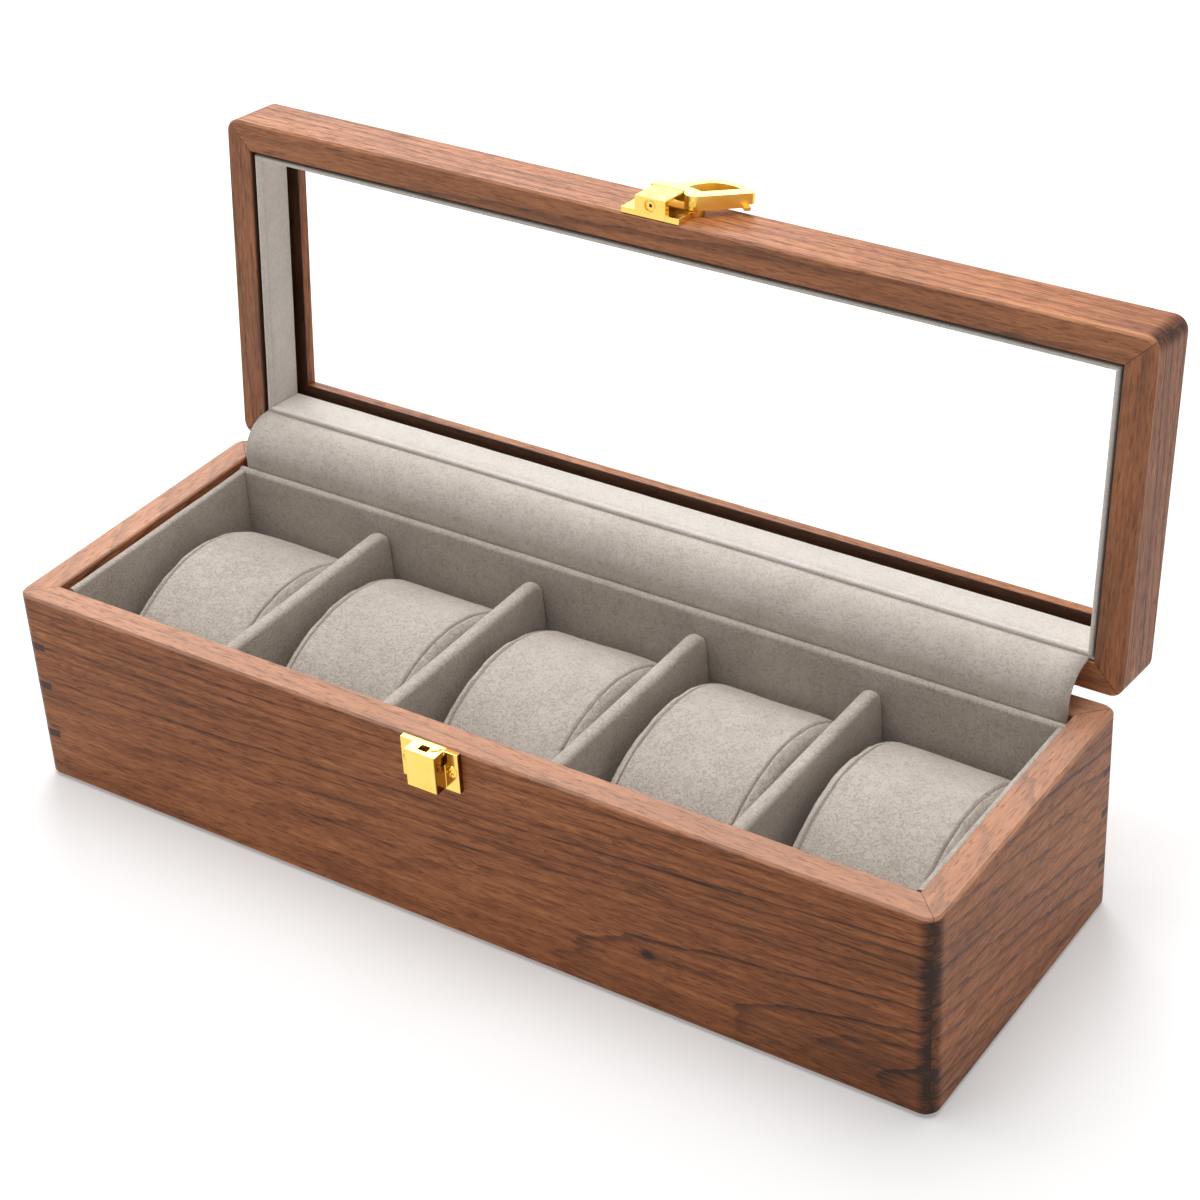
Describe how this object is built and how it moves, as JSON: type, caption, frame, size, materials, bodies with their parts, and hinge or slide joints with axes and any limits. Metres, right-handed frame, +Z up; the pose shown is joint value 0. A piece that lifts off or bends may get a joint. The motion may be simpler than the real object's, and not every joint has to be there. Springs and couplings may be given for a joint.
{
  "type": "watch box",
  "caption": "Wooden watch box with a glazed hinged lid, a swing-lever catch and cloth-lined compartments, each with a removable pillow.",
  "frame": {"origin": "centre of the base's underside, on the surface that the box stands on", "axes": "+X to the right along the front, +Y to the back where the hinges are, +Z up; at rest the lid stands open as pictured, against its stop"},
  "size_m": [0.32, 0.1547, 0.1861],
  "materials": {
    "walnut": "straight-grained walnut, satin lacquer",
    "key_wood": "near-black hardwood keys, flush and lacquered with the walls",
    "panel_board": "plain plywood board",
    "pad_cloth": "short-pile felt",
    "velvet": "greige short-pile velvet",
    "clear_glass": "clear float glass",
    "gold_brass": "polished gold plate"
  },
  "bodies": {
    "case": {"base_front_wall": "walnut", "base_back_wall": "walnut", "base_left_wall": "walnut", "base_right_wall": "walnut", "spline_keys_front_left": "key_wood", "spline_keys_rear_left": "key_wood", "spline_keys_rear_right": "key_wood", "bottom_panel": "panel_board", "underside_pad": "pad_cloth", "floor_liner": "velvet", "front_liner": "velvet", "back_liner": "velvet", "left_liner": "velvet", "right_liner": "velvet", "divider_1": "velvet", "divider_2": "velvet", "divider_3": "velvet", "divider_4": "velvet", "hinge_flap": "velvet", "hinge_base_leaf_left": "gold_brass", "hinge_base_leaf_right": "gold_brass", "hinge_pin_left": "gold_brass", "hinge_pin_right": "gold_brass", "hinge_screws_base": "gold_brass", "catch_keeper": "gold_brass", "catch_keeper_screws": "gold_brass"},
    "lid": {"lid_front_rail": "walnut", "lid_back_rail": "walnut", "lid_left_rail": "walnut", "lid_right_rail": "walnut", "lid_lining_front": "velvet", "lid_lining_back": "velvet", "lid_lining_left": "velvet", "lid_lining_right": "velvet", "lid_glass": "clear_glass", "hinge_lid_leaf_left": "gold_brass", "hinge_lid_leaf_right": "gold_brass", "hinge_screws_lid": "gold_brass", "catch_housing": "gold_brass", "catch_housing_screws": "gold_brass", "catch_end_rivet": "gold_brass", "lever_pivot_pin": "gold_brass"},
    "lever": {"catch_lever": "gold_brass", "lever_set_screw": "gold_brass"},
    "pillow_1": {"pillow_1": "velvet"},
    "pillow_2": {"pillow_2": "velvet"},
    "pillow_3": {"pillow_3": "velvet"},
    "pillow_4": {"pillow_4": "velvet"},
    "pillow_5": {"pillow_5": "velvet"}
  },
  "joints": [
    {"name": "lid_hinge", "type": "hinge", "parent": "case", "child": "lid", "pos_m": [0, 0.0562, 0.06915], "axis": [-1, 0, 0], "range_deg": [-95.6, 0], "deforming": ["hinge_flap"]},
    {"name": "catch_lever_swing", "type": "hinge", "parent": "lid", "child": "lever", "pos_m": [0.0088, 0.07815, 0.17873], "axis": [0, 0.0976, 0.9952], "range_deg": [-135, 0]},
    {"name": "pillow_1_lift", "type": "slide", "parent": "case", "child": "pillow_1", "axis": [0, 0, 1], "range_m": [0, 0.07]},
    {"name": "pillow_2_lift", "type": "slide", "parent": "case", "child": "pillow_2", "axis": [0, 0, 1], "range_m": [0, 0.07]},
    {"name": "pillow_3_lift", "type": "slide", "parent": "case", "child": "pillow_3", "axis": [0, 0, 1], "range_m": [0, 0.07]},
    {"name": "pillow_4_lift", "type": "slide", "parent": "case", "child": "pillow_4", "axis": [0, 0, 1], "range_m": [0, 0.07]},
    {"name": "pillow_5_lift", "type": "slide", "parent": "case", "child": "pillow_5", "axis": [0, 0, 1], "range_m": [0, 0.07]}
  ]
}
